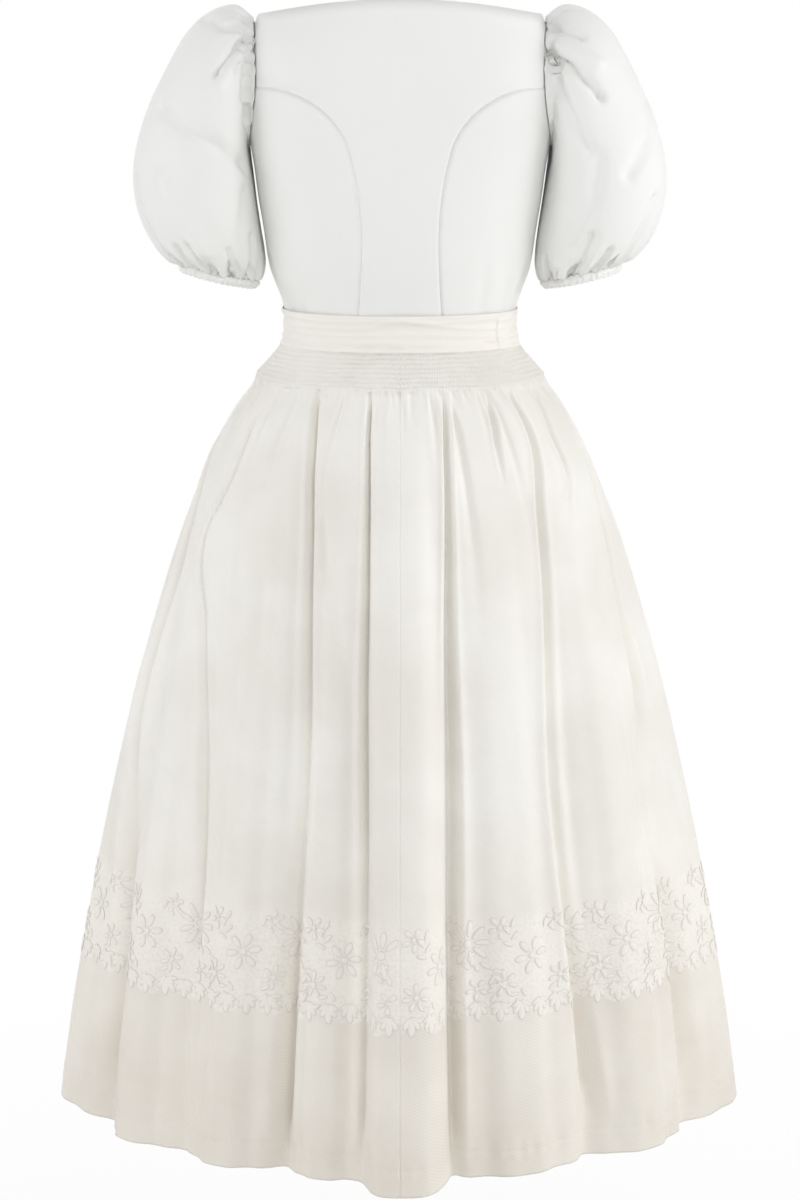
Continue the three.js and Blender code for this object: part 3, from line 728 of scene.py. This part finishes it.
def make_bodice():
    long, quarter, wide = 64, 22, 26
    back = princess(BACK_PRINCESS, 90, long)
    front = princess(FRONT_PRINCESS, -90, long)
    tip = neck(np.array([90.0]))
    back_side = np.concatenate([back, armhole(np.linspace(90, 0, quarter + 1))[1:], tip])
    front_side = np.concatenate([front, armhole(np.linspace(-90, 0, quarter + 1))[1:]])
    side = line((math.pi / 2, 0), (math.pi / 2, 190), long)
    middle = np.concatenate([line((math.pi, 0), (math.pi, 238), long),
                             neck(np.linspace(180, 90, quarter + 1))[1:]])
    panel = bodice_panel("bodice_back", {
        "left": other_side(back_side), "right": back_side,
        "bottom": line(other_side(back_side)[0], back_side[0], 2 * wide),
        "top": neck(np.linspace(-90, 90, 2 * wide + 1))}, ["left", "right"])
    for word, flip in (("left", False), ("right", True)):
        parts = {
            "bodice_back_side": (
                {"left": back, "right": side, "bottom": line(back[0], side[0], quarter),
                 "top": armhole(np.linspace(90, 180, quarter + 1))}, (0.17, 0.27), 0.034),
            "bodice_front_side": (
                {"left": side, "right": front, "bottom": line(side[0], front[0], quarter),
                 "top": armhole(np.linspace(-180, -90, quarter + 1))}, (0.17, 0.27), 0.034),
            "bodice_front": (
                {"left": front_side, "right": middle,
                 "bottom": line(front_side[0], middle[0], quarter),
                 "top": line(front_side[-1], tip[0], quarter)}, (0.16, 0.34), 0.023),
        }
        for base, (edges, cut, area) in parts.items():
            if flip:
                edges = {"left": other_side(edges["right"]), "right": other_side(edges["left"]),
                         "bottom": other_side(edges["bottom"])[::-1],
                         "top": other_side(edges["top"])[::-1]}
            seams = ["left", "right"]
            panel = bodice_panel(f"{base}_{word}", edges, seams)


# ---------------------------------------------------------------- sleeves
SLEEVE_ROWS, SLEEVE_TURNS = 104, 150


def sleeve_form():
    """The left sleeve's plain form, a grid over share of length and turn."""
    turns = np.linspace(0, 360, SLEEVE_TURNS, endpoint=False)
    share = np.linspace(0, 1, SLEEVE_ROWS)
    turn = np.radians(turns)[None, :]
    rings = []
    for key in ("out_x", "out_z", "in_x", "in_z", "depth"):
        known = SLEEVE_SECTIONS[key]
        rings.append(np.concatenate([[{"out_x": 150, "out_z": 310, "in_x": 156, "in_z": 190,
                                       "depth": 56}[key]], known]))
    index = np.arange(len(rings[0]), dtype=float)
    out_x, out_z, in_x, in_z, depth = (
        smooth_at(index, ring, share * (len(index) - 1))[:, None] for ring in rings)
    x = (out_x + in_x) / 2 + (out_x - in_x) / 2 * np.cos(turn)
    z = (out_z + in_z) / 2 + (out_z - in_z) / 2 * np.cos(turn)
    y = depth * np.sin(turn) + 0 * z
    form = np.stack([x, y, z], -1)
    edge = armhole(((turns + 180) % 360) - 180, 4.0)
    start = bodice_point(edge[:, 0], edge[:, 1])
    start = start * (1 + 1.3 / np.hypot(start[:, 0], start[:, 1])[:, None] * (1, 1, 0))
    near = (1 - ramp(0, 0.09, share))[:, None, None]
    return form + near * (start[None] - form[:1])


def sleeve_path(form, path):
    """Points on the sleeve's form from turns in degrees and shares of its length."""
    points = []
    for turn, share in path:
        points.append(form[round(share * (SLEEVE_ROWS - 1)),
                           round(turn / 360 * SLEEVE_TURNS) % SLEEVE_TURNS])
    return np.array(points)


# Creases: width, depth and a path of turns and shares. Turn 0 is the top outer
# line, 90 the back, 180 the inner line and 270 the front.
LEFT_CREASES = [
    (6, 3.5, [(14, 0.3), (40, 0.23), (44, 0.16)]), (5, 6.0, [(42, 0.03), (57, 0.15), (72, 0.29)]),
    (5, 4.0, [(56, 0.02), (68, 0.13), (78, 0.2)]), (8, 3.5, [(72, 0.06), (95, 0.11), (123, 0.08)]),
    (9, 4.5, [(36, 0.5), (67, 0.49), (100, 0.43), (139, 0.32)]),
    (8, 5.0, [(20, 0.66), (30, 0.78), (40, 0.92)]), (9, 3.5, [(142, 0.46), (133, 0.68), (118, 0.9)]),
    (5, 4.0, [(80, 0.79), (88, 0.92)]), (5, 4.5, [(118, 0.78), (112, 0.95)]),
    (5, 3.5, [(148, 0.66), (138, 0.92)]), (5, 4.0, [(62, 0.82), (66, 0.95)]),
    (8, -3.5, [(60, 0.1), (80, 0.3)]), (12, -4, [(60, 0.62), (90, 0.8)]),
]
RIGHT_CREASES = [
    (5, 4.0, [(29, 0.04), (46, 0.15), (48, 0.25)]), (6, 7.5, [(58, 0.03), (72, 0.2), (74, 0.3), (70, 0.4)]),
    (9, 4.5, [(72, 0.1), (94, 0.16), (102, 0.31), (96, 0.46)]),
    (9, 4.5, [(10, 0.5), (45, 0.57), (68, 0.6)]), (6, 5.0, [(98, 0.74), (104, 0.88), (110, 0.96)]),
    (7, 6.0, [(38, 0.7), (49, 0.79), (60, 0.93)]), (6, 4.5, [(20, 0.84), (34, 0.95)]),
    (5, 3.5, [(150, 0.8), (140, 0.93)]), (10, 3.0, [(88, 0.5), (101, 0.62), (114, 0.76)]),
    (5, 4.0, [(76, 0.82), (80, 0.95)]), (10, -4, [(60, 0.14), (58, 0.34)]),
    (7, -4, [(128, 0.84), (124, 0.93)]),
]
FRONT_CREASES = [
    (6, 5.0, [(300, 0.04), (286, 0.17), (284, 0.3)]), (9, 4.0, [(276, 0.08), (262, 0.2), (256, 0.34)]),
    (9, 4.5, [(330, 0.5), (296, 0.52), (262, 0.44)]), (7, 5.0, [(322, 0.7), (312, 0.82), (304, 0.94)]),
    (6, 4.5, [(262, 0.76), (256, 0.93)]), (6, 4.0, [(232, 0.74), (238, 0.92)]),
    (5, 4.0, [(284, 0.82), (280, 0.95)]), (5, 3.5, [(340, 0.84), (332, 0.95)]),
]


def sleeve_gathers(seed):
    """Fine gathers at the armhole and above the cuff, moved along the normal."""
    random = np.random.default_rng(seed)
    turn = np.linspace(0, 2 * math.pi, SLEEVE_TURNS, endpoint=False)[None, :]
    share = np.linspace(0, 1, SLEEVE_ROWS)[:, None]
    head = sum(random.uniform(0.5, 1) * np.sin(k * turn + random.uniform(0, 6.3))
               for k in (13, 19, 26, 31))
    foot = sum(random.uniform(0.5, 1) * np.sin(k * turn + random.uniform(0, 6.3) + 2 * share)
               for k in (17, 23, 30, 37))
    crown = 0.35 + 0.65 * np.exp(-((np.cos(turn) - 1) / 0.9) ** 2)
    at_head = ramp(0.0, 0.03, share) * (1 - ramp(0.05, 0.3, share)) * 1.9 * crown
    at_foot = ramp(0.76, 0.97, share) * 1.5
    broad = 0.9 * np.sin(3 * turn + 7 * share + seed) * np.sin(math.pi * share)
    return head * at_head + foot * at_foot + broad


def make_sleeves():
    for word, creases, seed, sign in (("left", LEFT_CREASES, 3, 1), ("right", RIGHT_CREASES, 8, -1)):
        form = sleeve_form()
        points = form + grid_normals(form, True) * sleeve_gathers(seed)[..., None]
        for width, depth, path in creases + FRONT_CREASES:
            points = press(points, sleeve_path(form, path), 0.8 * width, 1.5 * depth)
        points, band = points, cuff_form(seed)
        if sign < 0:
            points, band = (grid[:, ::-1] * (-1, 1, 1) for grid in (points, band))
        sleeve = cloth_wall(f"sleeve_{word}_cloth", points, 0.9, BODICE_CLOTH, True)
        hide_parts(f"sleeve_{word}")
        cuff = cloth_wall(f"cuff_{word}_cloth", band, 1.4, BODICE_CLOTH, True)
        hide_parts(f"cuff_{word}")


def cuff_form(seed):
    """The elastic cuff: a narrow casing with fine gathers and a tiny frill under it."""
    turns, rows = 200, 11
    turn = np.linspace(0, 2 * math.pi, turns, endpoint=False)[None, :]
    share = np.linspace(0, 1, rows)[:, None]
    end = {key: column[-1] for key, column in SLEEVE_SECTIONS.items()}
    middle = np.array([(end["out_x"] + end["in_x"]) / 2, 0, (end["out_z"] + end["in_z"]) / 2])
    reach = np.array([end["out_x"], 0, end["out_z"]]) - middle
    down = np.array([reach[2], 0, -reach[0]]) / np.hypot(reach[0], reach[2])
    swell = 1 + 0.035 * np.sin(math.pi * share) - 0.03 * ramp(0.55, 0.75, share)
    gather = (1.0 * np.sin(37 * turn + seed) + 0.7 * np.sin(53 * turn)) * (0.5 + 0.9 * share)
    frill = 1.6 * np.sin(41 * turn + 2 * seed) * ramp(0.7, 1, share)
    depth = end["depth"] * swell + gather * 0.5
    across = np.linalg.norm(reach) * swell + gather * 0.5
    ring = (across * np.cos(turn))[..., None] * reach / np.linalg.norm(reach)
    ring = ring + (depth * np.sin(turn))[..., None] * np.array([0, 1, 0])
    return middle + ring + (9.0 * share + 0.3 * frill)[..., None] * down


# ---------------------------------------------------------------- sash
# Folds along the sash: width, how far they stand out, and a path of angles and heights.
SASH_FOLDS = [
    (2.6, 1.6, [(-62, 14), (-30, 12), (10, 13.5), (50, 12), (78, 15), (110, 13), (180, 12)]),
    (2.8, 1.5, [(-62, 3), (-45, 4.5), (-20, 10), (2, 14), (20, 7), (60, 5), (120, 6), (180, 4)]),
    (3.0, 1.6, [(-62, -5), (-30, -1), (0, 0), (40, -2), (80, 0), (130, -3), (180, -1)]),
    (2.6, 1.4, [(-62, -14), (-20, -10), (20, -9), (60, -10), (100, -8), (140, -11), (180, -9)]),
    (2.4, 1.3, [(-62, -17.5), (0, -17), (90, -17), (180, -17)]),
    (2.4, 1.3, [(-62, 17.5), (0, 17.6), (90, 17.4), (180, 17.5)]),
    (2.6, 1.5, [(-180, 12), (-140, 11), (-100, 13), (-62.2, 10)]),
    (2.8, 1.5, [(-180, 4), (-130, 3), (-95, 5), (-62.2, 2)]),
    (2.8, 1.5, [(-180, -4), (-140, -5), (-100, -3), (-62.2, -6)]),
    (2.6, 1.4, [(-180, -11), (-130, -12), (-95, -10), (-62.2, -13)]),
    (2.4, 1.3, [(-180, -17), (-62.2, -17.3)]), (2.4, 1.3, [(-180, 17.4), (-62.2, 17.5)]),
]


def sash_point(angle, z):
    low = section_point(SKIRT_SECTIONS, angle, np.minimum(z, 0))
    high = section_point(BODICE_SECTIONS, angle, np.maximum(z, 0))
    x, y = (np.where(z < 0, a, b) for a, b in zip(low, high))
    degrees = np.degrees(angle)
    out = np.full(z.shape, 1.4)
    for width, rise, path in SASH_FOLDS:
        angles, heights = (np.array(column, float) for column in zip(*path))
        inside = (degrees >= angles[0] - 0.5) & (degrees <= angles[-1] + 0.5)
        off = (z - smooth_at(angles, heights, degrees)) / width
        out += inside * rise * np.exp(-off ** 2)
    out += 0.4 * np.sin(degrees / 9 + z / 8)
    radius = np.hypot(x, y)
    return np.stack([x * (1 + out / radius), y * (1 + out / radius), z], -1)


def make_sash():
    for name, low, high, cut in (("sash_wrap", -62, 180, 0.47), ("sash_end", -180, -62.2, 0.24)):
        steps = round((high - low) * 0.85)
        angles, levels = np.meshgrid(np.radians(np.linspace(low, high, steps)),
                                     np.linspace(-19, 19, 32))
        points = sash_point(angles, levels)
        part = cloth_wall(f"{name}_cloth", points, 1.0, SASH_CLOTH)
        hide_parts(name)


# ---------------------------------------------------------------- stage, light, camera
def lamp(name, place, target, size, power):
    light = bpy.data.lights.new(name, "AREA")
    light.size = size
    light.energy = power
    obj = bpy.data.objects.new(name, light)
    obj.location = place
    aim = np.array(target) - np.array(place)
    obj.rotation_euler = (math.atan2(math.hypot(aim[0], aim[1]), -aim[2]), 0,
                          math.atan2(-aim[0], aim[1]))
    bpy.context.scene.collection.objects.link(obj)


def white_to_the_eye(tree, plain):
    """Shows white to the camera and in reflections, and the plain shader to the light."""
    path = tree.nodes.new("ShaderNodeLightPath")
    seen = tree.nodes.new("ShaderNodeMath")
    seen.operation = "MAXIMUM"
    tree.links.new(path.outputs["Is Camera Ray"], seen.inputs[0])
    tree.links.new(path.outputs["Is Glossy Ray"], seen.inputs[1])
    mix = tree.nodes.new("ShaderNodeMixShader")
    tree.links.new(seen.outputs[0], mix.inputs[0])
    tree.links.new(plain, mix.inputs[1])
    return mix


def make_stage():
    world = bpy.data.worlds.new("studio")
    world.use_nodes = True
    bpy.context.scene.world = world
    tree = world.node_tree
    plain = tree.nodes["Background"]
    plain.inputs["Strength"].default_value = 0.52
    plain.inputs["Color"].default_value = (1, 1, 1, 1)
    white = tree.nodes.new("ShaderNodeBackground")
    white.inputs["Color"].default_value = (1, 1, 1, 1)
    mix = white_to_the_eye(tree, plain.outputs[0])
    tree.links.new(white.outputs[0], mix.inputs[2])
    tree.links.new(mix.outputs[0], tree.nodes["World Output"].inputs["Surface"])

    mesh = bpy.data.meshes.new("floor")
    size, level = 8.0, HEM_Z * MM - 0.30
    mesh.from_pydata([(-size, -size, level), (size, -size, level), (size, size, level),
                      (-size, size, level)], [], [(0, 1, 2, 3)])
    floor = bpy.data.objects.new("floor", mesh)
    bpy.context.scene.collection.objects.link(floor)
    material = bpy.data.materials.new("pale_floor")
    material.use_nodes = True
    tree = material.node_tree
    plain = tree.nodes["Principled BSDF"]
    plain.inputs["Base Color"].default_value = (0.9, 0.9, 0.9, 1)
    plain.inputs["Roughness"].default_value = 0.9
    glow = tree.nodes.new("ShaderNodeEmission")
    mix = white_to_the_eye(tree, plain.outputs[0])
    shadow = tree.nodes.new("ShaderNodeMixShader")
    where = tree.nodes.new("ShaderNodeTexCoord")
    distance = tree.nodes.new("ShaderNodeVectorMath")
    distance.operation = "LENGTH"
    tree.links.new(where.outputs["Object"], distance.inputs[0])
    fade = tree.nodes.new("ShaderNodeMapRange")
    for socket, value in zip(fade.inputs[1:5], (1.1, 1.8, 0.14, 0.0)):
        socket.default_value = value
    tree.links.new(distance.outputs["Value"], fade.inputs[0])
    tree.links.new(fade.outputs[0], shadow.inputs[0])
    tree.links.new(glow.outputs[0], shadow.inputs[1])
    tree.links.new(plain.outputs[0], shadow.inputs[2])
    tree.links.new(shadow.outputs[0], mix.inputs[2])
    tree.links.new(mix.outputs[0], tree.nodes["Material Output"].inputs["Surface"])
    mesh.materials.append(material)


def make_camera():
    """Behind the dress, looking a little down on it from the height of the neck."""
    camera = bpy.data.cameras.new("camera")
    camera.lens = 91.44
    camera.sensor_width = 36
    camera.clip_end = 50
    obj = bpy.data.objects.new("camera", camera)
    obj.location = (0, 3.2, 0.384)
    obj.rotation_euler = (math.radians(78), 0, math.radians(180))
    bpy.context.scene.collection.objects.link(obj)
    bpy.context.scene.camera = obj


make_camera()
make_stage()
lamp("key", (-1.2, 3.4, 1.9), (0, 0, -0.2), 1.4, 34)
lamp("side_left", (3.0, 1.0, 0.7), (0, 0, -0.2), 1.8, 30)
lamp("side_right", (-3.0, 0.8, 0.7), (0, 0, -0.2), 1.8, 34)
lamp("front", (0.8, -3.4, 1.6), (0, 0, -0.3), 2.4, 44)
make_sash()
make_skirt()
make_bodice()
make_sleeves()
bpy.context.scene.view_settings.view_transform = "Standard"
